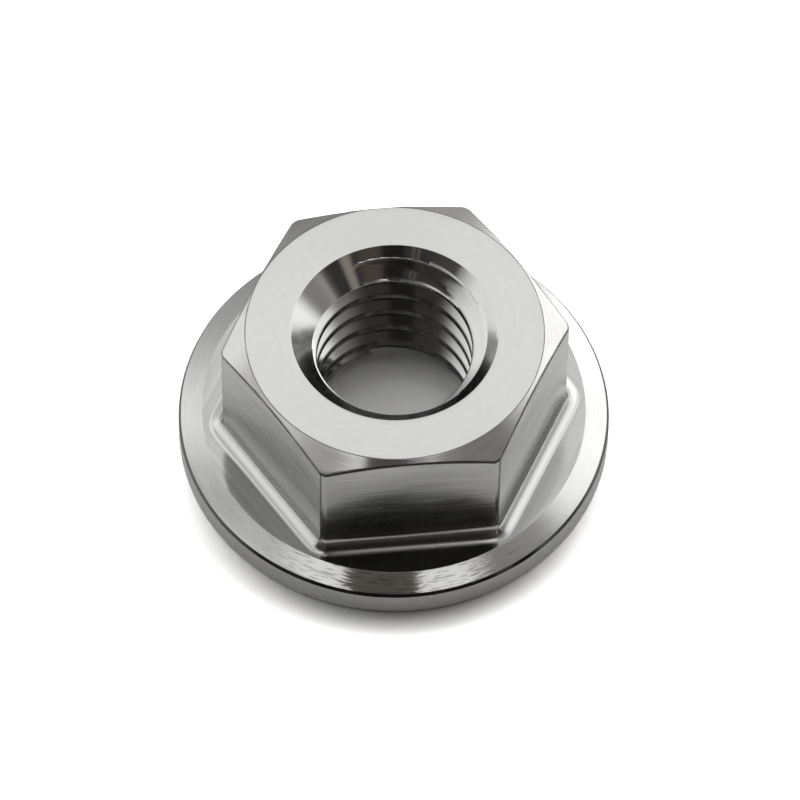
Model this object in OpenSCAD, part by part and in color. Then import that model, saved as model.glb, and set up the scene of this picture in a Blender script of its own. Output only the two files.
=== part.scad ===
// Hexagon flange nut, turned and milled from one titanium bar.
// The nut stands on its bearing face at z = 0, with the thread's axis along +Z.

/* [Overall] */
// Height from the bearing face to the top face
height = 7.7; // [7.2:0.1:8.6]

/* [Hexagon] */
// Width across two opposite flats
across_flats = 13; // [12.6:0.1:13.4]
// Diameter that the six corners are turned down to
corner_d = 14.8; // [14.4:0.05:15]
// Diameter of the flat ring on top, inside the chamfer
top_face_d = 12.75; // [12:0.05:13]
// Angle of the top chamfer below the horizontal
chamfer_angle = 22.5; // [15:0.5:30]

/* [Foot of the hexagon] */
// Height of the flat floor round the hexagon, above the bearing face
floor_height = 1.64; // [1.5:0.02:1.8]
// Radius of the hollow corner between the floor and the sides of the hexagon
foot_radius = 0.58; // [0.4:0.02:0.6]

/* [Flange] */
// Outer diameter of the flange
flange_d = 18.6; // [18.2:0.1:19.4]
// Height of the rim where the flange's slope meets it, above the bearing face
rim_height = 1.33; // [1.1:0.01:1.4]
// Diameter of the circle where the flange's slope meets the flat floor
slope_top_d = 16.56; // [16.3:0.02:17]
// Width of the small bevel on the rim's upper edge
rim_bevel = 0.1; // [0.05:0.01:0.15]
// Width of the small bevel between the rim and the bearing face
bearing_bevel = 0.12; // [0.05:0.01:0.2]

/* [Hole] */
// Diameter of the hole at the crests of the thread
hole_d = 6.65; // [6.4:0.01:6.9]
// Diameter of the countersink at the top face
top_countersink_d = 8.86; // [8.2:0.02:9.4]
// Diameter of the countersink at the bearing face
bearing_countersink_d = 8.3; // [7.8:0.02:9]
// Full angle of both countersinks
countersink_angle = 90; // [80:1:110]

/* [Hidden] */
$fn = 96;

titanium = [0.62, 0.61, 0.59];

sides = 6;
side_angle = 360 / sides;

// Room that a cut is given past the surface it opens
clear = 1;

flat_r = across_flats / 2;
corner_r = corner_d / 2;
top_face_r = top_face_d / 2;
flange_r = flange_d / 2;
slope_top_r = slope_top_d / 2;
hole_r = hole_d / 2;

// Rise of the flange's slope for each millimetre towards the axis
flange_rise = (floor_height - rim_height) / (flange_r - slope_top_r);
function slope_z(r) = rim_height + (flange_r - r) * flange_rise;
function chamfer_z(r) = height - (r - top_face_r) * tan(chamfer_angle);

function sink_depth(d) = (d / 2 - hole_r) / tan(countersink_angle / 2);

// Section of the hollow corner at the foot of an upright side.
// x runs outward from the side and y upward from the floor.
module foot_section() {
    difference() {
        square(foot_radius);
        translate([foot_radius, foot_radius]) circle(r = foot_radius);
    }
}

// The whole nut as it leaves the lathe, before the flats are milled
module turned_blank() {
    rotate_extrude() {
        polygon([
            [0, 0],
            [flange_r - bearing_bevel, 0],
            [flange_r, bearing_bevel],
            [flange_r, rim_height - rim_bevel],
            [flange_r - rim_bevel, slope_z(flange_r - rim_bevel)],
            [slope_top_r, floor_height],
            [corner_r, floor_height],
            [corner_r, chamfer_z(corner_r)],
            [top_face_r, height],
            [0, height]
        ]);
        translate([corner_r, floor_height]) foot_section();
    }
}

// Section of the cut beside a flat: upright along the flat, level along the
// floor, and rounded between them. x runs outward from the flat.
module cut_section() {
    width = flange_r - flat_r + clear;
    depth = height - floor_height + clear;
    difference() {
        square([width, depth]);
        foot_section();
    }
}

// One straight pass of the cutter, run out past both ends of a flat
module flat_pass() {
    length = 2 * (flange_r + clear);
    translate([flat_r, length / 2, floor_height])
        rotate([90, 0, 0]) linear_extrude(length) cut_section();
}

// All six passes, the first of them on the side that faces +Y
module flat_passes() {
    for (i = [0 : sides - 1])
        rotate([0, 0, 90 + i * side_angle]) flat_pass();
}

// A countersink that opens upward, with its mouth at z = 0
module countersink(d) {
    depth = sink_depth(d);
    slope = (d / 2 - hole_r) / depth;
    translate([0, 0, -depth])
        cylinder(r1 = hole_r, r2 = hole_r + (depth + clear) * slope, h = depth + clear);
}

module hole() {
    translate([0, 0, -clear]) cylinder(r = hole_r, h = height + 2 * clear);
    translate([0, 0, height]) countersink(top_countersink_d);
    mirror([0, 0, 1]) countersink(bearing_countersink_d);
}

module flange_nut() {
    color(titanium)
        difference() {
            turned_blank();
            flat_passes();
            hole();
        }
}

flange_nut();
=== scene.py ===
"""Titanium flange nut on pale paper, under soft studio light. The nut is one detailed piece.

Lengths that belong to the nut are in millimetres, as a maker reads them, and become metres where
the mesh is made. Azimuths run anticlockwise seen from above, from +X, and are in degrees where a
name in capitals holds them.
"""

import math

import bpy
import numpy as np
from mathutils import Matrix, Vector


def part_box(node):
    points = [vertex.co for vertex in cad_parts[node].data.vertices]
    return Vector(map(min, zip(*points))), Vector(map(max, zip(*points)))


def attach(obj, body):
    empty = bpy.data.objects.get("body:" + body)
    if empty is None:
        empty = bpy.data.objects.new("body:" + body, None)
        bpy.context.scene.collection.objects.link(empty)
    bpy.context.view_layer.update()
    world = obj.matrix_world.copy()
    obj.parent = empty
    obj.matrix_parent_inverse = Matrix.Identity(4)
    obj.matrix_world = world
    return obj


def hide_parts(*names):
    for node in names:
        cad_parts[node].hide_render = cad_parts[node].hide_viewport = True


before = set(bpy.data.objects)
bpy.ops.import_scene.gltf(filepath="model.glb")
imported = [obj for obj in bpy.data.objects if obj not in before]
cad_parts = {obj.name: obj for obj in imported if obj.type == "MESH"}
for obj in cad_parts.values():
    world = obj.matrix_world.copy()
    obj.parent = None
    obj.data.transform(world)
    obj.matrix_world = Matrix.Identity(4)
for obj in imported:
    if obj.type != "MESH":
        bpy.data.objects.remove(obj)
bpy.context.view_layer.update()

MM = 0.001
MICROMETRE = 1e-6

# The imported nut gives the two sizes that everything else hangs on
nut_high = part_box("flange_nut")[1]
HEIGHT = nut_high.z / MM
FLANGE_R = nut_high.x / MM

# Hexagon, milled a little off the turned axis as on the real nut. A turned corner is nowhere
# narrower than twice CORNER_LEAST, and the chamfer nowhere narrower than CHAMFER_LEAST.
FLAT_R = 6.5
OFF_AXIS = (0.016, -0.132)
FLAT_AZIMUTHS = (-90, -30, 30, 90, 150, 210)
SIDES = len(FLAT_AZIMUTHS)
SIDE_TURN = 360 / SIDES
CORNER_R = 7.43
CORNER_LEAST = 0.035
TOP_FACE_R = 6.375
CHAMFER_SLOPE = math.tan(math.radians(22.5))
CHAMFER_LEAST = 0.03

# Foot of the hexagon, and flange
FLOOR_HEIGHT = 1.64
FOOT_RADIUS = 0.64
SLOPE_TOP_R = 8.28
RIM_HEIGHT = 1.33
RIM_BEVEL = 0.1
BEARING_BEVEL = 0.12

# Hole, and a right-hand thread with a crest CREST_HEIGHT_AT_X above the bearing face at +X. The
# countersinks slope at 45 degrees.
PITCH = 1.25
FLANK_ANGLE = 30
CREST_R = 3.325
ROOT_R = 4.04
CREST_FLAT = 0.3
CREST_HEIGHT_AT_X = 0.099
TOP_MOUTH_R = 4.43
BEARING_MOUTH_R = 4.15

# Edges as deburring leaves them
EDGE_RADIUS = 0.04
MOUTH_EDGE_RADIUS = 0.03
TOP_EDGE_RADIUS = 0.15
BURR_RADIUS = 0.12
SLOPE_EDGE_RADIUS = 0.06
BEVEL_EDGE_RADIUS = 0.015
CREST_EDGE_RADIUS = 0.05
ROOT_EDGE_RADIUS = 0.09

# Where two faces meet at more than this, the shading breaks
SHARP_ANGLE = 24

# How softly the flats meet the turned corners, at the top of the foot and added towards its end
CORNER_BLEND = 0.014
FOOT_BLEND = 0.1

# How an edge is worn: above 0 it is rubbed bright, and below 0 a dark line of painted shade runs
# along it
RUBBED = 1.0
LIGHTLY_RUBBED = 0.3
AS_CUT = 0.0
FAINT_PAINTED_SHADE_LINE = -0.85
PAINTED_SHADE_LINE = -1.0

# Front of the flange's slope, where the tool tore the skin and dark cracks of painted shade break
# up the glints: its middle, how far it reaches to either side, and how much of that reach fades out
TORN_AZIMUTH = -96
TORN_REACH = 46
TORN_FADE = 18

# Up to this angle round the foot the flats' finish goes on: the cutter's corner leaves the same
# marks as its side, and the flats' darker colour of painted shade dims the highlight at the top of
# the foot.
FOOT_START = math.radians(27)

FINISHES = [
    "turned_top",
    "turned_chamfer",
    "milled_flat",
    "milled_foot",
    "turned_corner",
    "cut_floor",
    "turned_slope",
    "rim_bevel",
    "turned_rim",
    "bearing_face",
    "countersink",
    "thread",
]
MILLED = ("milled_flat", "milled_foot", "cut_floor")


# Outline of the hexagon

# A flat bounds the outline only where it faces the azimuth, with a cosine above this
FACING_LEAST = 0.3
FAR_AWAY = 99.0


def flat_reach(k, out):
    """How far flat k lies from the turned axis, out millimetres along its foot."""
    a = math.radians(FLAT_AZIMUTHS[k % SIDES])
    return FLAT_R + OFF_AXIS[0] * math.cos(a) + OFF_AXIS[1] * math.sin(a) + out


def corner_reach(theta, out):
    """How far the turned corner lies from the axis at azimuth theta."""
    return CORNER_R + OFF_AXIS[0] * np.cos(theta) + OFF_AXIS[1] * np.sin(theta) + out


def side_radius(theta, out):
    """Radius of the hexagon's side at azimuth theta: the nearest flat, or the turned corner."""
    reach = [corner_reach(theta, out)]
    for k in range(SIDES):
        c = np.cos(theta - math.radians(FLAT_AZIMUTHS[k]))
        met = flat_reach(k, out) / np.maximum(c, FACING_LEAST)
        reach.append(np.where(c > FACING_LEAST, met, FAR_AWAY))
    reach = np.array(reach)
    nearest = reach.min(0)
    blend = CORNER_BLEND + FOOT_BLEND * (out / FOOT_RADIUS)
    return nearest - blend * np.log(np.exp((nearest - reach) / blend).sum(0))


# Where the mesh's columns stand, as shares of half a flat and of a turned corner. They crowd
# where the two meet, so that the edge between them is crisp.
CROWDED_SHARES = [0, 0.005, 0.013, 0.024, 0.043, 0.08]
HALF_FLAT_SHARES = np.concatenate([CROWDED_SHARES, np.linspace(0.14, 1, 14)])
CORNER_SHARES = np.array([0, 0.12, 0.32, 0.5, 0.68, 0.88])
FLAT_COLUMNS = 2 * len(HALF_FLAT_SHARES) - 2
COLUMNS = SIDES * (FLAT_COLUMNS + len(CORNER_SHARES))


def column_azimuths(out):
    """Azimuths of the columns, corner by corner: first a turned corner, then the flat after it.
    sharp is where the two flats a corner lies between would meet."""
    corners = []
    for k in range(SIDES):
        a, b = (math.radians(FLAT_AZIMUTHS[k] + turn) for turn in (0, SIDE_TURN))
        fa, fb, r = flat_reach(k, out), flat_reach(k + 1, out), corner_reach((a + b) / 2, out)
        lean = math.atan((fb - fa) / ((fa + fb) * math.tan(math.pi / SIDES)))
        least = CORNER_LEAST / CORNER_R
        sharp = (a + b) / 2 + lean
        start = min(a + math.acos(min(1, fa / r)), sharp - least)
        corners.append((start, max(b - math.acos(min(1, fb / r)), sharp + least)))
    columns = []
    for k, (start, end) in enumerate(corners):
        after = corners[(k + 1) % SIDES][0] + (2 * math.pi if k == SIDES - 1 else 0)
        half = (after - end) / 2
        columns += [start + (end - start) * CORNER_SHARES, end + half * HALF_FLAT_SHARES]
        columns.append(after - half * HALF_FLAT_SHARES[-2:0:-1])
    return np.concatenate(columns)


CORNER_THEN_FLAT = np.r_[np.ones(len(CORNER_SHARES), bool), np.zeros(FLAT_COLUMNS, bool)]
ON_CORNER = np.tile(CORNER_THEN_FLAT, SIDES)


# Outside of the nut, row by row from the mouth of the hole outward and down

# The most of a side that the rounding of one end takes up
ROUNDED_SHARE = 0.45
# Rows round the hollow foot, and across the bearing face
FOOT_ROWS = 15
BEARING_ROWS = 6
# A point this far down a countersink shows which way it slopes
INTO_SINK = 0.5


def rounded(before, here, after, radius, steps=4):
    """Points of (radius, height) that round the corner at here, one array for each step."""
    u, v = before - here, after - here
    lu, lv = (np.linalg.norm(w, axis=1, keepdims=True) for w in (u, v))
    u, v = u / lu, v / lv
    turn = math.pi - np.arccos(np.clip((u * v).sum(1, keepdims=True), -1, 1))
    reach = np.minimum(radius * np.tan(turn / 2), ROUNDED_SHARE * np.minimum(lu, lv))
    a, b = here + u * reach, here + v * reach
    shares = np.linspace(0, 1, steps + 1)
    return [(1 - t) ** 2 * a + 2 * t * (1 - t) * here + t * t * b for t in shares]


class Rows:
    """Rows of the mesh, each with the finish of the faces after it and how worn its edge is."""

    def __init__(self):
        self.points, self.finish, self.edge = [], [], []

    def add(self, azimuths, rz, finish, edge=AS_CUT):
        r, z = rz.T
        self.points.append(np.column_stack([r * np.cos(azimuths), r * np.sin(azimuths), z]))
        self.finish.append(finish)
        self.edge.append(edge)

    def line(self, azimuths, a, b, count, finish):
        """Rows evenly between a and b, both left out."""
        for t in np.linspace(0, 1, count + 2)[1:-1]:
            self.add(azimuths, (1 - t) * a + t * b, finish)

    def corner(self, azimuths, sides, finishes, radius=EDGE_RADIUS, edge=RUBBED):
        """Rows round the corner at the middle one of sides, worn as edge says. The second finish
        starts half way round."""
        made = rounded(*sides, radius)
        steps = len(made) - 1
        for i, rz in enumerate(made):
            self.add(azimuths, rz, finishes[2 * i >= steps], edge if 0 < i < steps else AS_CUT)


def slope_height(r):
    """Height of the flange's slope at radius r."""
    return RIM_HEIGHT + (FLANGE_R - r) * (FLOOR_HEIGHT - RIM_HEIGHT) / (FLANGE_R - SLOPE_TOP_R)


def outside_rows():
    """All rows outside the hole. upper are the columns' azimuths above the foot of the hexagon,
    and lower those below it."""
    upper, lower = column_azimuths(0), column_azimuths(FOOT_RADIUS)
    flat = np.ones(COLUMNS)

    def at(r, z):
        return np.column_stack([r * flat, z * flat])

    side = side_radius(upper, 0)
    top_r = np.minimum(TOP_FACE_R, side - CHAMFER_LEAST)
    chamfer_foot = at(side, HEIGHT - (side - top_r) * CHAMFER_SLOPE)
    mouth, top_edge = at(TOP_MOUTH_R, HEIGHT), at(top_r, HEIGHT)
    foot_top = at(side, FLOOR_HEIGHT + FOOT_RADIUS)
    slope_top = at(SLOPE_TOP_R, FLOOR_HEIGHT)
    bevel_r = FLANGE_R - RIM_BEVEL
    bevel_top, rim_top = at(bevel_r, slope_height(bevel_r)), at(FLANGE_R, RIM_HEIGHT - RIM_BEVEL)
    rim_foot, bearing_edge = at(FLANGE_R, BEARING_BEVEL), at(FLANGE_R - BEARING_BEVEL, 0)
    bearing_mouth = at(BEARING_MOUTH_R, 0)
    in_top_sink = at(TOP_MOUTH_R - INTO_SINK, HEIGHT - INTO_SINK)
    in_bearing_sink = at(BEARING_MOUTH_R - INTO_SINK, INTO_SINK)

    rows = Rows()
    rows.corner(
        upper,
        (in_top_sink, mouth, top_edge),
        ("countersink", "turned_top"),
        MOUTH_EDGE_RADIUS,
        AS_CUT,
    )
    rows.line(upper, mouth, top_edge, count=6, finish="turned_top")
    # The top face's edge carries a faint dark line of painted shade
    rows.corner(
        upper,
        (mouth, top_edge, chamfer_foot),
        ("turned_top", "turned_chamfer"),
        TOP_EDGE_RADIUS,
        FAINT_PAINTED_SHADE_LINE,
    )
    rows.line(upper, top_edge, chamfer_foot, count=4, finish="turned_chamfer")
    # The chamfer's foot carries a dark line of painted shade
    rows.corner(
        upper,
        (top_edge, chamfer_foot, foot_top),
        ("turned_chamfer", "milled_flat"),
        BURR_RADIUS,
        PAINTED_SHADE_LINE,
    )
    rows.line(upper, chamfer_foot, foot_top, count=5, finish="milled_flat")
    for angle in np.linspace(0, math.pi / 2, FOOT_ROWS):
        out = FOOT_RADIUS * (1 - math.cos(angle))
        azimuths = column_azimuths(out)
        height = FLOOR_HEIGHT + FOOT_RADIUS * (1 - math.sin(angle))
        finish = "milled_flat" if angle < FOOT_START else "milled_foot"
        rows.add(azimuths, at(side_radius(azimuths, out), height), finish)
    rows.finish[-1] = "cut_floor"
    foot_end = at(side_radius(lower, FOOT_RADIUS), FLOOR_HEIGHT)
    rows.line(lower, foot_end, slope_top, count=3, finish="cut_floor")
    rows.corner(
        lower, (foot_end, slope_top, bevel_top), ("cut_floor", "turned_slope"), SLOPE_EDGE_RADIUS
    )
    rows.line(lower, slope_top, bevel_top, count=4, finish="turned_slope")
    rows.corner(
        lower,
        (slope_top, bevel_top, rim_top),
        ("turned_slope", "rim_bevel"),
        BEVEL_EDGE_RADIUS,
        AS_CUT,
    )
    rows.corner(
        lower,
        (bevel_top, rim_top, rim_foot),
        ("rim_bevel", "turned_rim"),
        BEVEL_EDGE_RADIUS,
        LIGHTLY_RUBBED,
    )
    rows.line(lower, rim_top, rim_foot, count=2, finish="turned_rim")
    rows.corner(lower, (rim_top, rim_foot, bearing_edge), ("turned_rim", "turned_rim"))
    rows.corner(lower, (rim_foot, bearing_edge, bearing_mouth), ("turned_rim", "bearing_face"))
    for t in np.linspace(0, 1, BEARING_ROWS + 2)[1:-1]:
        azimuths = (1 - t) * lower + t * upper
        rows.add(azimuths, (1 - t) * bearing_edge + t * bearing_mouth, "bearing_face")
    rows.corner(
        upper, (bearing_edge, bearing_mouth, in_bearing_sink), ("bearing_face", "countersink")
    )
    return rows


# Hole and thread

# Rows on a flank, as shares of it, and steps round the thread's edges
FLANK_SHARES = (0.1, 0.3, 0.5, 0.7)
THREAD_EDGE_STEPS = 5
# How far below a crest its dark line of painted shade reaches
CREST_SKIN = 0.03
# The hole's own rows stop this far inside its mouths
MOUTH_GAP = 0.004


def thread_section():
    """One pitch of the thread as (height, radius), from the middle of a crest upward."""
    half = CREST_FLAT / 2
    flank = (ROOT_R - CREST_R) * math.tan(math.radians(FLANK_ANGLE))
    crest_edge = np.array([[half, CREST_R]])
    root_edge = np.array([[half + flank, ROOT_R]])
    next_root_edge = np.array([[PITCH - half - flank, ROOT_R]])
    points = [np.array([[0.0, CREST_R]])]
    points += rounded(points[0], crest_edge, root_edge, CREST_EDGE_RADIUS, THREAD_EDGE_STEPS)
    points += [(1 - t) * crest_edge + t * root_edge for t in FLANK_SHARES]
    root = rounded(crest_edge, root_edge, next_root_edge, ROOT_EDGE_RADIUS, THREAD_EDGE_STEPS)
    points += root[:-1]
    points.append(np.array([[PITCH / 2, ROOT_R]]))
    rising = np.concatenate(points)
    falling = rising[::-1][1:-1] * [-1, 1] + [PITCH, 0]
    return np.concatenate([rising, falling])


def sunk_radius(height):
    """Radius of the countersinks at a height: the wider of the two."""
    return np.maximum(TOP_MOUTH_R - (HEIGHT - height), BEARING_MOUTH_R - height)


class Bore:
    """Points of the hole's wall, on rows that climb with the thread."""

    def __init__(self, azimuths, top, bottom):
        section = thread_section()
        # Enough turns to pass both faces of the nut all the way round
        turns = np.arange(-3, int(HEIGHT / PITCH) + 2)
        climb = (section[:, 0][None, :] + PITCH * turns[:, None]).ravel()
        self.per_turn = len(section)
        turned = azimuths[None, :] / (2 * math.pi)
        self.height = CREST_HEIGHT_AT_X + climb[:, None] + PITCH * turned
        self.radius = np.tile(section[:, 1], len(turns))[:, None] * np.ones(len(azimuths))
        self.across = climb[:, None] * np.ones(len(azimuths))
        self.run_out()
        # Crests carry a dark line of painted shade, and sharp run-out lines are rubbed bright
        on_crest = self.threaded & (self.radius < CREST_R + CREST_SKIN)
        self.edge = RUBBED * self.burred + PAINTED_SHADE_LINE * on_crest
        self.inside = (self.height < top - MOUTH_GAP) & (self.height > bottom + MOUTH_GAP)
        self.above = self.height >= top - MOUTH_GAP

    def run_out(self):
        """Moves the nearest row onto each line where the thread runs out into a countersink. The
        line is burred where the groove meets the countersink in a sharp edge."""
        z, r = self.height, self.radius
        depth = r - sunk_radius(z)
        self.on_line = np.zeros(z.shape, bool)
        self.burred = np.zeros(z.shape, bool)
        for j in range(len(z) - 1):
            crosses = (depth[j] > 0) != (depth[j + 1] > 0)
            t = np.where(crosses, depth[j] / np.where(crosses, depth[j] - depth[j + 1], 1), 0)
            line_z, line_r = z[j] + t * (z[j + 1] - z[j]), r[j] + t * (r[j + 1] - r[j])
            sharp = (depth[j] > 0) == (line_z > HEIGHT / 2)
            for row, near in ((j, t < 0.5), (j + 1, t >= 0.5)):
                pick = crosses & near & ~self.on_line[row]
                z[row, pick], r[row, pick] = line_z[pick], line_r[pick]
                self.on_line[row] |= pick
                self.burred[row] |= pick & sharp
        self.threaded = (depth > 0) & ~self.on_line
        sunk = ~self.threaded & ~self.on_line
        r[sunk] = sunk_radius(z)[sunk]
        self.across[sunk | self.on_line] = (r - z)[sunk | self.on_line]

    def corners(self, j, c):
        """The four corners of the face after row j and column c, as (row, column)."""
        last = c == COLUMNS - 1
        step = self.per_turn if last else 0
        d = 0 if last else c + 1
        return [(j, c), (j + 1, c), (j + 1 + step, d), (j + step, d)]


class NutFaces:
    """Faces of the mesh with the finish of each."""

    def __init__(self):
        self.faces, self.finish = [], []

    def add(self, corners, finish):
        ring = [int(p) for i, p in enumerate(corners) if p != corners[i - 1]]
        if len(set(ring)) == len(ring) >= 3:
            self.faces.append(ring)
            self.finish.append(FINISHES.index(finish))


def outside_faces(rows, made):
    """Adds the faces between the rows. On a turned corner the lathe's land takes the place of the
    milled flat."""
    for j in range(len(rows.points) - 1):
        for c in range(COLUMNS):
            d = (c + 1) % COLUMNS
            finish = rows.finish[j]
            if ON_CORNER[c] and finish == "milled_flat":
                finish = "turned_corner"
            a, b = j * COLUMNS, (j + 1) * COLUMNS
            made.add((a + c, b + c, b + d, a + d), finish)


def bore_faces(bore, ids, made):
    """Adds the faces of the hole's wall. A face that a run-out crosses from corner to corner is
    split along it."""
    count = len(ids)
    for c in range(COLUMNS):
        for j in range(count - 1 - (bore.per_turn if c == COLUMNS - 1 else 0)):
            four = bore.corners(j, c)
            p = [ids[q] for q in four]
            cut = [bore.threaded[q] for q in four]
            line = [bore.on_line[q] for q in four]
            whole = len(set(p)) == 4
            if whole and line[0] and line[2]:
                made.add((p[0], p[1], p[2]), "thread" if cut[1] else "countersink")
                made.add((p[0], p[2], p[3]), "thread" if cut[3] else "countersink")
            elif whole and line[1] and line[3]:
                made.add((p[0], p[1], p[3]), "thread" if cut[0] else "countersink")
                made.add((p[1], p[2], p[3]), "thread" if cut[2] else "countersink")
            else:
                made.add(p, "thread" if any(cut) else "countersink")


def across_marks(points, rows):
    """Distance across the tool's marks: along the section where the lathe cut, and away from
    the nearest flat where the mill did."""
    x, y, z = points.T
    off_flat = np.full(len(points), -FAR_AWAY)
    for k in range(SIDES):
        a = math.radians(FLAT_AZIMUTHS[k])
        off_flat = np.maximum(off_flat, x * math.cos(a) + y * math.sin(a) - flat_reach(k, 0))
    milled = np.repeat([finish in MILLED for finish in rows.finish], COLUMNS)
    return np.where(milled, off_flat - z, np.hypot(x, y) - z)


def edge_lines(rows):
    """How each point's edge is worn. A dark line of painted shade runs up the far side of the
    turned corners next to every second flat."""
    edge = np.repeat(np.array(rows.edge)[:, None], COLUMNS, 1)
    beside = np.flatnonzero(ON_CORNER != np.roll(ON_CORNER, 1)).reshape(SIDES, 2)
    burred = [beside[k, 1 - k % 2] for k in range(SIDES)]
    burred += [c + 1 if ON_CORNER[c] else c - 1 for c in burred]
    for j, finish in enumerate(rows.finish):
        if finish == "milled_flat" and rows.edge[j] == AS_CUT:
            edge[j, burred] = PAINTED_SHADE_LINE
    return edge.ravel()


def torn_share(points, rows):
    """How torn the skin is, and so how much of its dark cracks of painted shade show: evenly where
    no finish says more, and on the slope of the flange only at the front, where the tool dragged."""
    share = np.ones(len(points))
    slope = np.repeat([finish == "turned_slope" for finish in rows.finish], COLUMNS)
    away = np.arctan2(points[:, 1], points[:, 0]) - math.radians(TORN_AZIMUTH)
    away = np.abs((away + math.pi) % (2 * math.pi) - math.pi)
    front = np.clip((math.radians(TORN_REACH) - away) / math.radians(TORN_FADE), 0, 1)
    share[slope] = front[slope]
    return share


def nut_mesh():
    """The whole nut as one closed mesh. The hole's wall shares the outside's first and last row."""
    rows = outside_rows()
    points = np.concatenate(rows.points)
    across = across_marks(points, rows)
    edge = edge_lines(rows)
    torn = torn_share(points, rows)
    made = NutFaces()
    outside_faces(rows, made)

    azimuths = column_azimuths(0)
    bore = Bore(azimuths, rows.points[0][0, 2], rows.points[-1][0, 2])
    top_rim = np.arange(COLUMNS)[None, :]
    bottom_rim = top_rim + (len(rows.points) - 1) * COLUMNS
    ids = np.where(bore.above, top_rim, bottom_rim)
    ids[bore.inside] = len(points) + np.arange(bore.inside.sum())
    bore_faces(bore, ids, made)

    turn = np.broadcast_to(azimuths, bore.height.shape)
    wall = [bore.radius * np.cos(turn), bore.radius * np.sin(turn), bore.height]
    points = np.concatenate([points, np.column_stack([w[bore.inside] for w in wall])])
    across = np.concatenate([across, bore.across[bore.inside]])
    edge = np.concatenate([edge, bore.edge[bore.inside]])
    torn = np.concatenate([torn, np.ones(bore.inside.sum())])

    mesh = bpy.data.meshes.new("flange_nut_titanium")
    mesh.from_pydata((points * MM).tolist(), [], made.faces)
    mesh.polygons.foreach_set("material_index", made.finish)
    for name, values in (("edge_wear_and_shade_line", edge), ("across_marks", across), ("torn_share", torn)):
        made_attribute = mesh.attributes.new(name, "FLOAT", "POINT")
        made_attribute.data.foreach_set("value", values.astype(np.float32))
    mesh.shade_smooth()
    mesh.set_sharp_from_angle(angle=math.radians(SHARP_ANGLE))
    return mesh


# Shared effects, as groups of shader nodes

# Width of a hairline scratch, as a share of the cells that scratches run between
HAIR_WIDTH = 0.012


def effect(name, inputs, outputs):
    """A new node group. inputs are (name, kind, value) and outputs are (name, kind)."""
    group = bpy.data.node_groups.new(name, "ShaderNodeTree")
    for label, kind, value in inputs:
        socket = group.interface.new_socket(
            label, in_out="INPUT", socket_type="NodeSocket" + kind
        )
        socket.default_value = value
    for label, kind in outputs:
        group.interface.new_socket(label, in_out="OUTPUT", socket_type="NodeSocket" + kind)
    return group, group.nodes.new("NodeGroupInput"), group.nodes.new("NodeGroupOutput")


def node(tree, kind, links=(), **settings):
    """A new node. links are (input, value or socket); settings are the node's own properties."""
    made = tree.nodes.new("ShaderNode" + kind)
    for key, value in settings.items():
        setattr(made, key, value)
    for key, value in links:
        if isinstance(value, bpy.types.NodeSocket):
            tree.links.new(value, made.inputs[key])
        else:
            made.inputs[key].default_value = value
    return made


def maths(tree, operation, *values, clamp=False):
    """Result of a Math node on the values, each a number or a socket."""
    links = list(enumerate(values))
    return node(tree, "Math", links, operation=operation, use_clamp=clamp).outputs[0]


def scaled(tree, vector, scale):
    return node(tree, "VectorMath", [(0, vector), ("Scale", scale)], operation="SCALE").outputs[0]


def dot(tree, a, b):
    return node(tree, "VectorMath", [(0, a), (1, b)], operation="DOT_PRODUCT").outputs["Value"]


def blend(tree, share, a, b):
    """Value that goes from a to b as share goes from 0 to 1."""
    return node(tree, "Mix", [(0, share), (2, a), (3, b)]).outputs[0]


def blend_colours(tree, share, a, b):
    """Colour that goes from a to b as share goes from 0 to 1."""
    links = [(0, share)]
    for key, colour in ((6, a), (7, b)):
        links.append((key, colour if isinstance(colour, bpy.types.NodeSocket) else (*colour, 1)))
    return node(tree, "Mix", links, data_type="RGBA").outputs[2]


def in_millimetres(tree):
    return scaled(tree, node(tree, "TexCoord").outputs["Object"], 1 / MM)


def spread(tree, value, low, high, to_low=0.0, to_high=1.0):
    """value moved from low..high to to_low..to_high, and held there."""
    links = [(0, value), (1, low), (2, high), (3, to_low), (4, to_high)]
    return node(tree, "MapRange", links).outputs[0]


def tool_marks_effect():
    """Parallel marks of a turning or milling tool, run along the cut and broken up unevenly."""
    group, given, out = effect(
        "tool_marks",
        [
            ("Marks per mm", "Float", 6.0),
            ("Run", "Float", 0.3),
            ("Feed per mm", "Float", 2.0),
            ("Feed share", "Float", 0.3),
        ],
        [("Height", "Float"), ("Shade", "Float")],
    )
    across = node(group, "Attribute", attribute_name="across_marks").outputs["Fac"]
    along = scaled(group, in_millimetres(group), given.outputs["Run"])
    parts = node(group, "SeparateXYZ", [(0, along)])
    vector = node(group, "CombineXYZ", [(0, parts.outputs[0]), (1, parts.outputs[1])]).outputs[0]

    def lines(rate, offset):
        """Lines rate to the millimetre. offset keeps one set from following another."""
        w = maths(group, "ADD", maths(group, "MULTIPLY", across, rate), offset)
        return node(
            group,
            "TexNoise",
            [("Vector", vector), ("W", w), ("Scale", 1.0), ("Detail", 1.0), ("Roughness", 0.6)],
            noise_dimensions="4D",
        ).outputs[0]

    fine = lines(given.outputs["Marks per mm"], 11.0)
    feed = lines(given.outputs["Feed per mm"], 47.0)
    height = blend(group, given.outputs["Feed share"], fine, feed)
    group.links.new(height, out.inputs["Height"])
    group.links.new(spread(group, height, low=0.3, high=0.7), out.inputs["Shade"])
    return group


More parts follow.
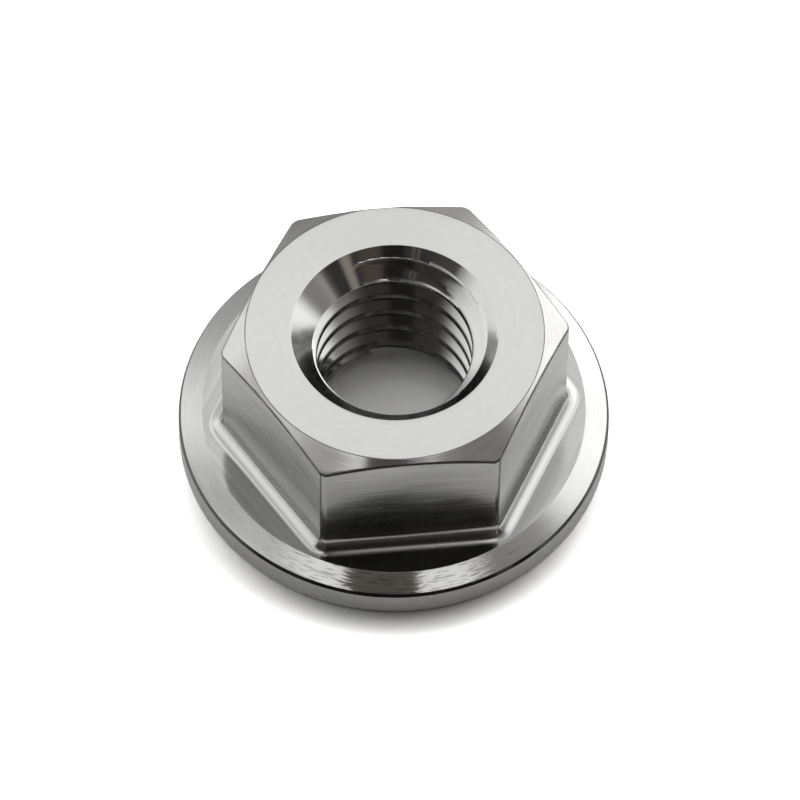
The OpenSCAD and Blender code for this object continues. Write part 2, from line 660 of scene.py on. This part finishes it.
def uneven_cut_effect():
    """Torn, crumpled skin where the tool dragged, in patches, with a warm stain in some of them,
    and dark cracks of painted shade where it is torn deepest.
    """
    group, given, out = effect(
        "uneven_cut",
        [("Size per mm", "Float", 7.0), ("Run", "Float", 1.5), ("Patch per mm", "Float", 0.35)],
        [("Height", "Float"), ("Stain", "Float"), ("Painted tear shade", "Float")],
    )
    mm = in_millimetres(group)
    across = node(group, "Attribute", attribute_name="across_marks").outputs["Fac"]
    share = node(group, "Attribute", attribute_name="torn_share").outputs["Fac"]
    torn = node(
        group,
        "TexNoise",
        [
            ("Vector", mm),
            ("W", maths(group, "MULTIPLY", across, given.outputs["Size per mm"])),
            ("Scale", given.outputs["Run"]),
            ("Detail", 1.0),
        ],
        noise_dimensions="4D",
    )
    patch = node(
        group,
        "TexNoise",
        [("Vector", mm), ("Scale", given.outputs["Patch per mm"]), ("Detail", 3.0)],
    )
    height = maths(group, "MULTIPLY", maths(group, "SUBTRACT", torn.outputs[0], 0.5), share)
    group.links.new(height, out.inputs["Height"])
    stain = spread(group, patch.outputs[0], low=0.42, high=0.6)
    broken = spread(group, torn.outputs[0], low=0.35, high=0.65, to_low=0.55)
    group.links.new(maths(group, "MULTIPLY", stain, broken), out.inputs["Stain"])
    # Dark cracks of painted shade where the skin is torn deepest
    deepest = spread(group, torn.outputs[0], low=0.36, high=0.46, to_low=1.0, to_high=0.0)
    group.links.new(maths(group, "MULTIPLY", deepest, share), out.inputs["Painted tear shade"])
    return group


def handling_effect():
    """What hands and trays leave on bare metal: faint smudges, and a hairline scratch here and
    there."""
    group, given, out = effect(
        "handling_wear",
        [("Smudge size per mm", "Float", 0.35), ("Scratch share", "Float", 0.4)],
        [("Smudges", "Float"), ("Scratches", "Float")],
    )
    mm = in_millimetres(group)
    smudge = node(
        group,
        "TexNoise",
        [
            ("Vector", mm),
            ("Scale", given.outputs["Smudge size per mm"]),
            ("Detail", 4.0),
            ("Roughness", 0.55),
        ],
    ).outputs[0]
    group.links.new(spread(group, smudge, low=0.35, high=0.7), out.inputs["Smudges"])
    bend = node(group, "TexNoise", [("Vector", mm), ("Scale", 0.4), ("Detail", 1.0)]).outputs[1]
    bent = node(group, "VectorMath", [(0, mm), (1, bend)], operation="ADD").outputs[0]
    cells = node(
        group, "TexVoronoi", [("Vector", bent), ("Scale", 0.55)], feature="DISTANCE_TO_EDGE"
    ).outputs[0]
    hair = spread(group, cells, low=0.0, high=HAIR_WIDTH, to_low=1.0, to_high=0.0)
    there = node(group, "TexNoise", [("Vector", mm), ("Scale", 0.9), ("Detail", 2.0)]).outputs[0]
    there = spread(group, there, low=0.5, high=0.62)
    hair_there = maths(group, "MULTIPLY", hair, there)
    scratch = maths(group, "MULTIPLY", hair_there, given.outputs["Scratch share"])
    group.links.new(scratch, out.inputs["Scratches"])
    return group


def edge_effect():
    """Where an edge has rubbed bright, and where a dark line of painted shade runs along it."""
    group, given, out = effect(
        "edge_wear_and_painted_shade",
        [("Reach", "Float", 0.6), ("Painted shade strength", "Float", 0.9)],
        [("Rubbed", "Float"), ("Painted shade line", "Float"), ("Ridge", "Float")],
    )
    edge = node(group, "Attribute", attribute_name="edge_wear_and_shade_line").outputs["Fac"]
    mm = in_millimetres(group)
    patches = node(group, "TexNoise", [("Vector", mm), ("Scale", 1.6), ("Detail", 3.0)]).outputs[0]
    patches = spread(group, patches, low=0.35, high=0.6, to_low=0.3)
    rubbed = maths(group, "MULTIPLY", edge, patches)
    rubbed = maths(group, "MULTIPLY", rubbed, given.outputs["Reach"], clamp=True)
    # Below 0 the edge value gives a dark line of painted shade
    shade_line = maths(group, "MULTIPLY", edge, PAINTED_SHADE_LINE, clamp=True)
    shade_line = maths(group, "MULTIPLY", shade_line, given.outputs["Painted shade strength"])
    uneven = spread(group, patches, low=0.3, high=1.0, to_low=0.75)
    group.links.new(rubbed, out.inputs["Rubbed"])
    group.links.new(maths(group, "ADD", edge, 0.0, clamp=True), out.inputs["Ridge"])
    group.links.new(maths(group, "MULTIPLY", shade_line, uneven), out.inputs["Painted shade line"])
    return group


TOOL_MARKS = tool_marks_effect()
UNEVEN_CUT = uneven_cut_effect()
HANDLING = handling_effect()
EDGE_WEAR_AND_SHADE = edge_effect()


# Titanium, one material for each way it is cut

# Colours of the metal. BARE is its own colour; the others before the stain are copies of it,
# lighter as painted light or darker as painted shade, so that each kind of cut shows as light or
# dark as it does in the studio. The warm stain lies on some of it, and the last colour is painted
# shade for dark lines and cracks.
BARE = (0.62, 0.62, 0.615)
PAINTED_LIGHT_CUT = (0.66, 0.66, 0.655)
FLAT_PAINTED_SHADE = (0.42, 0.42, 0.415)
LAND_PAINTED_SHADE = (0.37, 0.37, 0.365)
FLOOR_PAINTED_SHADE = (0.51, 0.51, 0.505)
RIM_PAINTED_SHADE = (0.35, 0.35, 0.345)
BEVEL_PAINTED_SHADE = (0.12, 0.12, 0.117)
WARM_STAIN = (0.4, 0.375, 0.35)
PAINTED_SHADE_COLOUR = (0.06, 0.057, 0.052)

# What wear does to the metal: a rubbed edge is brighter, and all of it is rougher. A dark line of
# painted shade is rougher too.
RUBBED_BRIGHTER = 1.12
RUBBED_ROUGHER = 0.4
PAINTED_SHADE_ROUGHER = 0.3
SCRATCH_ROUGHER = 0.1
# How deep a scratch is, as a share of the tool's marks
SCRATCH_DEPTH = 0.6


def titanium(
    name,
    colour=BARE,
    roughness=0.12,
    rougher=0.06,
    marks=6.0,
    run=0.2,
    feed=2.0,
    feed_share=0.3,
    depth=0.6,
    darker=0.06,
    anisotropy=0.4,
    torn=0.0,
    stain=0.0,
    tear_shade=0.0,
    ridge=0.0,
):
    """Bare titanium. rougher is what marks and smudges add to the roughness, and darker how far
    the marks darken it. The depths, of the marks and of the torn skin, and the height of the
    ridge that a burr leaves on an edge are in micrometres."""
    material = bpy.data.materials.new(name)
    material.use_nodes = True
    tree = material.node_tree
    surface = tree.nodes["Principled BSDF"]
    surface.inputs["Metallic"].default_value = 1.0
    surface.inputs["Anisotropic"].default_value = anisotropy
    surface.inputs["Anisotropic Rotation"].default_value = 0.25

    cut = node(tree, "Group", node_tree=TOOL_MARKS)
    for key, value in (
        ("Marks per mm", marks),
        ("Run", run),
        ("Feed per mm", feed),
        ("Feed share", feed_share),
    ):
        cut.inputs[key].default_value = value
    uneven = node(tree, "Group", node_tree=UNEVEN_CUT) if torn or stain else None
    wear = node(tree, "Group", node_tree=HANDLING)
    edge = node(tree, "Group", node_tree=EDGE_WEAR_AND_SHADE)

    tint = blend_colours(tree, cut.outputs["Shade"], [c * (1 - darker) for c in colour], colour)
    if stain:
        stained = maths(tree, "MULTIPLY", uneven.outputs["Stain"], stain)
        tint = blend_colours(tree, stained, tint, WARM_STAIN)
    # Dark cracks of painted shade in the torn skin, where it catches the glints
    if tear_shade:
        shaded_tears = maths(tree, "MULTIPLY", uneven.outputs["Painted tear shade"], tear_shade)
        tint = blend_colours(tree, shaded_tears, tint, PAINTED_SHADE_COLOUR)
    brighter = [min(1, c * RUBBED_BRIGHTER) for c in colour]
    tint = blend_colours(tree, edge.outputs["Rubbed"], tint, brighter)
    # Dark lines of painted shade along edges and thread crests
    tint = blend_colours(tree, edge.outputs["Painted shade line"], tint, PAINTED_SHADE_COLOUR)
    tree.links.new(tint, surface.inputs["Base Color"])

    smudged = maths(tree, "MULTIPLY", wear.outputs["Smudges"], 0.5)
    more = maths(tree, "MULTIPLY_ADD", cut.outputs["Shade"], 0.5, smudged)
    rough = maths(tree, "MULTIPLY_ADD", more, rougher, roughness)
    for mask, by in (
        (wear.outputs["Scratches"], SCRATCH_ROUGHER),
        (edge.outputs["Painted shade line"], PAINTED_SHADE_ROUGHER),
        (edge.outputs["Rubbed"], RUBBED_ROUGHER),
    ):
        rough = maths(tree, "MULTIPLY_ADD", mask, by, rough)
    tree.links.new(rough, surface.inputs["Roughness"])

    scratched = maths(tree, "MULTIPLY", wear.outputs["Scratches"], SCRATCH_DEPTH)
    height = maths(tree, "SUBTRACT", cut.outputs["Height"], scratched)
    height = maths(tree, "MULTIPLY", height, depth)
    if torn:
        height = maths(tree, "MULTIPLY_ADD", uneven.outputs["Height"], torn, height)
    if ridge:
        height = maths(tree, "MULTIPLY_ADD", edge.outputs["Ridge"], ridge, height)
    bump = node(tree, "Bump", [("Strength", 1.0), ("Distance", MICROMETRE), ("Height", height)])
    tree.links.new(bump.outputs[0], surface.inputs["Normal"])
    tangent = node(tree, "Tangent", direction_type="RADIAL", axis="Z")
    tree.links.new(tangent.outputs[0], surface.inputs["Tangent"])
    return material


# How each finish of the nut differs from plain bare titanium. A colour lighter than bare is painted
# light, and one darker than bare is painted shade.
CUTS = {
    "turned_top": dict(
        roughness=0.14, rougher=0.06, marks=5, run=1.5, depth=0.4, darker=0.06, torn=0.9
    ),
    "turned_chamfer": dict(roughness=0.09, rougher=0.07, run=0.4, depth=1.0, torn=0.6, stain=0.4),
    "milled_flat": dict(
        colour=FLAT_PAINTED_SHADE,
        roughness=0.12,
        rougher=0.08,
        marks=6,
        run=0.3,
        depth=4.5,
        darker=0.3,
        anisotropy=0.8,
    ),
    "milled_foot": dict(
        colour=PAINTED_LIGHT_CUT,
        roughness=0.13,
        marks=5,
        run=0.1,
        depth=0.6,
        darker=0.15,
        anisotropy=0.6,
    ),
    "turned_corner": dict(colour=LAND_PAINTED_SHADE, roughness=0.14, run=0.3, depth=0.8),
    "cut_floor": dict(
        colour=FLOOR_PAINTED_SHADE,
        roughness=0.09,
        marks=5,
        run=0.08,
        feed=1.6,
        feed_share=0.4,
        depth=1.2,
        darker=0.25,
    ),
    "turned_slope": dict(
        roughness=0.07,
        rougher=0.04,
        marks=8,
        run=1.0,
        depth=2.6,
        darker=0.08,
        anisotropy=0.85,
        torn=4.0,
        stain=0.12,
        tear_shade=0.4,
    ),
    # The bevel's near-black colour is painted shade
    "rim_bevel": dict(colour=BEVEL_PAINTED_SHADE, roughness=0.06, depth=0.4),
    "turned_rim": dict(
        colour=RIM_PAINTED_SHADE, roughness=0.2, rougher=0.1, run=0.3, depth=0.6, darker=0.1, torn=0.5
    ),
    "bearing_face": dict(roughness=0.2, rougher=0.08, feed_share=0.5, depth=1.0, anisotropy=0.5),
    "countersink": dict(
        colour=PAINTED_LIGHT_CUT,
        roughness=0.08,
        rougher=0.06,
        marks=6,
        run=0.06,
        depth=2.4,
        darker=0.15,
        anisotropy=0.85,
        ridge=45,
    ),
    "thread": dict(
        roughness=0.06, rougher=0.05, run=0.3, depth=0.6, darker=0.12, torn=0.8, ridge=45
    ),
}
# How strongly large faces lead the shading of what is next to them
EVEN_SHADING = 60


def dressed_nut():
    """The detailed nut, which takes the place of the plain one."""
    nut = bpy.data.objects.new("nut_with_thread", nut_mesh())
    bpy.context.scene.collection.objects.link(nut)
    for name in FINISHES:
        nut.data.materials.append(titanium("titanium_" + name, **CUTS[name]))
    even = nut.modifiers.new("even_shading", "WEIGHTED_NORMAL")
    even.keep_sharp = True
    even.weight = EVEN_SHADING
    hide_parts("flange_nut")
    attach(nut, "root")


# Camera, paper and studio

# The photograph's view, from a camera fitted to the nut's circles and edges. The shift and the
# distance say in millimetres where the nut's origin lies from it, and the focal length is in
# pixels of a picture PICTURE_SIDE wide.
CAMERA_TURN = -6.3
CAMERA_TILT = 57.7
CAMERA_ROLL = 0.716
CAMERA_SHIFT = (-0.276, -1.225)
CAMERA_DISTANCE = 346.795
CAMERA_PIXELS = 8000
PICTURE_SIDE = 800
SENSOR = 36.0
CAMERA_CLIP = (0.01, 20)

# Paper, in metres: half its side, and the scale and height of its tooth
PAPER_HALF_SIDE = 3.0
TOOTH_SCALE = 1400.0
TOOTH_HEIGHT = 0.00006
# How white the paper is to plain light and to the camera, and how bright the metal shows it: beside
# the nut, and far away in front of it, where painted shade darkens it. FAR_SPREAD is how far away
# that starts and ends.
PAPER_COLOUR = 0.93
PAPER_WHITE = 3.2
MIRRORED_WHITE = 1.6
FAR_FRONT_PAINTED_SHADE = 0.3
FAR_SPREAD = (0.012, 0.05)
FAR_FRONT_SPREAD = (0.2, 0.8)
# The shade at the front where the nut meets the paper. It is felt for up to CONTACT_REACH metres
# away, in a direction that leans so much back over the nut's edge and so much up.
CONTACT_REACH = 0.0014
CONTACT_LEAN = (0.8, 0.6)
CONTACT_POWER = 1.5
CONTACT_SAMPLES = 6
CONTACT_FRONT_SPREAD = (0.1, 1.0)
# The paper seen through the hole, nearer to the axis than UNDER_NUT_R, darkened with painted shade:
# first how white it stays, then how much of the contact shade it takes
UNDER_NUT_R = FLANGE_R - 1
HOLE_PAINTED_SHADE = 0.92
HOLE_CONTACT = 0.5


def paper_floor():
    """Pale paper with a faint tooth, under the bearing face. Its colour carries painted shade: at
    the nut's front, in the hole, and far in front where the metal shows it.
    """
    side = PAPER_HALF_SIDE
    mesh = bpy.data.meshes.new("paper")
    corners = [(-side, -side, 0), (side, -side, 0), (side, side, 0), (-side, side, 0)]
    mesh.from_pydata(corners, [], [(0, 1, 2, 3)])
    floor = bpy.data.objects.new("paper_floor", mesh)
    bpy.context.scene.collection.objects.link(floor)
    material = bpy.data.materials.new("pale_paper")
    material.use_nodes = True
    tree = material.node_tree
    surface = tree.nodes["Principled BSDF"]
    surface.inputs["Roughness"].default_value = 0.95
    surface.inputs["Specular IOR Level"].default_value = 0.1
    position = node(tree, "TexCoord").outputs["Object"]
    back = math.radians(90 + CAMERA_TURN)
    back_x, back_y = math.cos(back), math.sin(back)

    lean_back, lean_up = CONTACT_LEAN
    lean = node(
        tree, "CombineXYZ", [(0, back_x * lean_back), (1, back_y * lean_back), (2, lean_up)]
    ).outputs[0]
    contact = node(
        tree,
        "AmbientOcclusion",
        [("Distance", CONTACT_REACH), ("Normal", lean)],
        samples=CONTACT_SAMPLES,
    ).outputs["AO"]
    contact = maths(tree, "POWER", contact, CONTACT_POWER)
    outward = node(tree, "VectorMath", [(0, position)], operation="NORMALIZE").outputs[0]
    front = dot(tree, outward, (-back_x, -back_y, 0))
    beside = blend(tree, spread(tree, front, *CONTACT_FRONT_SPREAD), 1.0, contact)
    # The paper in the hole is darkened with painted shade
    in_hole = maths(tree, "MULTIPLY", blend(tree, HOLE_CONTACT, 1.0, contact), HOLE_PAINTED_SHADE)
    away = node(tree, "VectorMath", [(0, position)], operation="LENGTH").outputs["Value"]
    outside = maths(tree, "GREATER_THAN", away, UNDER_NUT_R * MM)
    contact = blend(tree, outside, in_hole, beside)

    path = node(tree, "LightPath").outputs
    direct = maths(tree, "MAXIMUM", path["Is Camera Ray"], path["Is Transmission Ray"])
    # Far in front, the paper that the metal shows is darkened with painted shade
    painted_far_shade = spread(tree, away, *FAR_SPREAD)
    painted_far_shade = maths(tree, "MULTIPLY", painted_far_shade, spread(tree, front, *FAR_FRONT_SPREAD))
    mirrored = spread(tree, painted_far_shade, 0, 1, MIRRORED_WHITE, FAR_FRONT_PAINTED_SHADE)
    shade = blend(tree, path["Is Glossy Ray"], PAPER_COLOUR, mirrored)
    shade = blend(tree, direct, shade, maths(tree, "MULTIPLY", contact, PAPER_WHITE))
    tree.links.new(shade, surface.inputs["Base Color"])

    tooth = node(
        tree, "TexNoise", [("Vector", position), ("Scale", TOOTH_SCALE), ("Detail", 4.0)]
    ).outputs[0]
    bump = node(tree, "Bump", [("Strength", 0.5), ("Distance", TOOTH_HEIGHT), ("Height", tooth)])
    tree.links.new(bump.outputs[0], surface.inputs["Normal"])
    mesh.materials.append(material)


def photo_camera():
    """The camera at the photograph's angle, and the scene's camera."""
    tilt, roll = math.radians(CAMERA_TILT), math.radians(CAMERA_ROLL)
    forward = Vector((0, math.cos(tilt), -math.sin(tilt)))
    level, upright = Vector((1, 0, 0)), Vector((0, math.sin(tilt), math.cos(tilt)))
    right = math.cos(roll) * level + math.sin(roll) * upright
    up = -math.sin(roll) * level + math.cos(roll) * upright
    turn = Matrix.Rotation(math.radians(CAMERA_TURN), 3, "Z")
    right, up, forward = turn @ right, turn @ up, turn @ forward
    place = -(CAMERA_SHIFT[0] * right + CAMERA_SHIFT[1] * up + CAMERA_DISTANCE * forward) * MM
    data = bpy.data.cameras.new("photo_camera")
    data.sensor_width = SENSOR
    data.lens = CAMERA_PIXELS * SENSOR / PICTURE_SIDE
    data.clip_start, data.clip_end = CAMERA_CLIP
    camera = bpy.data.objects.new("photo_camera", data)
    axes = Matrix((right, up, -forward)).transposed()
    camera.matrix_world = Matrix.Translation(place) @ axes.to_4x4()
    bpy.context.scene.collection.objects.link(camera)
    bpy.context.scene.camera = camera


# A card covers only directions whose cosine with its middle is above this
CARD_FACING_LEAST = 0.001


def card_effect():
    """Whether a direction falls on a flat light or dark card in the studio, with a soft border."""
    group, given, out = effect(
        "studio_card",
        [
            ("Direction", "Vector", (0, 0, 1)),
            ("Middle", "Vector", (0, 0, 1)),
            ("Sideways", "Vector", (1, 0, 0)),
            ("Upward", "Vector", (0, 1, 0)),
            ("Half width", "Float", 0.3),
            ("Half height", "Float", 0.3),
            ("Border", "Float", 0.1),
        ],
        [("Mask", "Float")],
    )

    def share_along(label):
        return dot(group, given.outputs["Direction"], given.outputs[label])

    facing = share_along("Middle")
    safe = maths(group, "MAXIMUM", facing, CARD_FACING_LEAST)
    mask = maths(group, "GREATER_THAN", facing, CARD_FACING_LEAST)
    for label, size in (("Sideways", "Half width"), ("Upward", "Half height")):
        away = maths(group, "ABSOLUTE", maths(group, "DIVIDE", share_along(label), safe))
        inner = maths(group, "SUBTRACT", given.outputs[size], given.outputs["Border"])
        outer = maths(group, "ADD", given.outputs[size], given.outputs["Border"])
        within = node(
            group,
            "MapRange",
            [(0, away), (1, inner), (2, outer), (3, 1.0), (4, 0.0)],
            interpolation_type="SMOOTHSTEP",
        ).outputs[0]
        mask = maths(group, "MULTIPLY", mask, within)
    group.links.new(mask, out.inputs["Mask"])
    return group


# Studio cards: azimuth and elevation of the middle, half width, half height and border as they
# look from the nut, in degrees, and colour. Azimuth 0 is to the camera's right and 90 is away
# from it. A later card hangs in front of an earlier one.
CARDS = [
    ("left_wall", 168, 27, 25, 24, 12, (1.08, 1.08, 1.08)),
    ("left_light", 147, 36, 17, 37, 12, (1.18, 1.18, 1.18)),
    ("right_light", 38, 32, 26, 31, 6, (1.32, 1.32, 1.32)),
    ("right_core", 54, 28, 16, 30, 10, (1.8, 1.8, 1.8)),
    ("back_light", 90, 59, 27, 8, 4, (1.16, 1.16, 1.16)),
    ("low_back", 100, 12, 13, 18, 8, (0.37, 0.37, 0.37)),
    ("right_low", 19, 10, 15, 8, 6, (1.4, 1.4, 1.4)),
    ("dark_room", -83, 38, 58, 40, 11, (0.045, 0.042, 0.039)),
    ("brown_haze", -64, 29, 9, 18, 4, (0.085, 0.07, 0.06)),
    ("right_dim", -3, 63, 10, 19, 10, (0.28, 0.275, 0.265)),
    ("right_grey", -4, 16, 12, 20, 10, (0.3, 0.295, 0.285)),
    ("left_grey", -139, 13, 14, 15, 8, (0.1, 0.098, 0.095)),
    ("ceiling_left", 153, 65, 7, 20, 8, (0.6, 0.6, 0.6)),
    ("right_glint", -20, 80.5, 7, 5.5, 2, (1.15, 1.15, 1.13)),
    ("left_glint", -163, 79, 10, 5, 3, (1.1, 1.1, 1.08)),
    ("ceiling_gap", 180, 88.4, 24, 6.2, 0.3, (0.1, 0.09, 0.08)),
    ("ceiling_back", 90, 77, 7, 9, 2, (0.76, 0.76, 0.75)),
    ("camera_side", -88, 48, 9, 22, 3, (0.016, 0.0155, 0.015)),
    ("brown_edge", -42, 21, 4, 24, 2.5, (0.3, 0.27, 0.24)),
    ("brown_line", -107, 30, 1.2, 14, 0.6, (0.12, 0.1, 0.085)),
    ("brown_line_2", -112, 30, 1.2, 14, 0.6, (0.12, 0.1, 0.085)),
]
ROOM = (0.55, 0.55, 0.55)
WHITE = (1, 1, 1)


def studio():
    """The room with its cards as the metal sees it. The camera sees white past the paper."""
    world = bpy.data.worlds.new("studio")
    bpy.context.scene.world = world
    world.use_nodes = True
    tree = world.node_tree
    background = tree.nodes["Background"]
    direction = node(tree, "TexCoord").outputs["Generated"]
    card = card_effect()
    light = ROOM
    for name, azimuth, elevation, width, height, border, colour in CARDS:
        a, e = math.radians(azimuth + CAMERA_TURN), math.radians(elevation)
        middle = (math.cos(a) * math.cos(e), math.sin(a) * math.cos(e), math.sin(e))
        sideways = (-math.sin(a), math.cos(a), 0)
        upward = (-math.cos(a) * math.sin(e), -math.sin(a) * math.sin(e), math.cos(e))
        placed = node(tree, "Group", node_tree=card, label=name)
        for key, value in (
            ("Middle", middle),
            ("Sideways", sideways),
            ("Upward", upward),
            ("Half width", math.tan(math.radians(width))),
            ("Half height", math.tan(math.radians(height))),
            ("Border", math.tan(math.radians(border))),
        ):
            placed.inputs[key].default_value = value
        tree.links.new(direction, placed.inputs["Direction"])
        light = blend_colours(tree, placed.outputs["Mask"], light, colour)
    seen = node(tree, "LightPath").outputs["Is Camera Ray"]
    light = blend_colours(tree, seen, light, WHITE)
    tree.links.new(light, background.inputs["Color"])
    world.cycles.sampling_method = "NONE"


dressed_nut()
paper_floor()
photo_camera()
studio()
bpy.context.scene.view_settings.view_transform = "Standard"
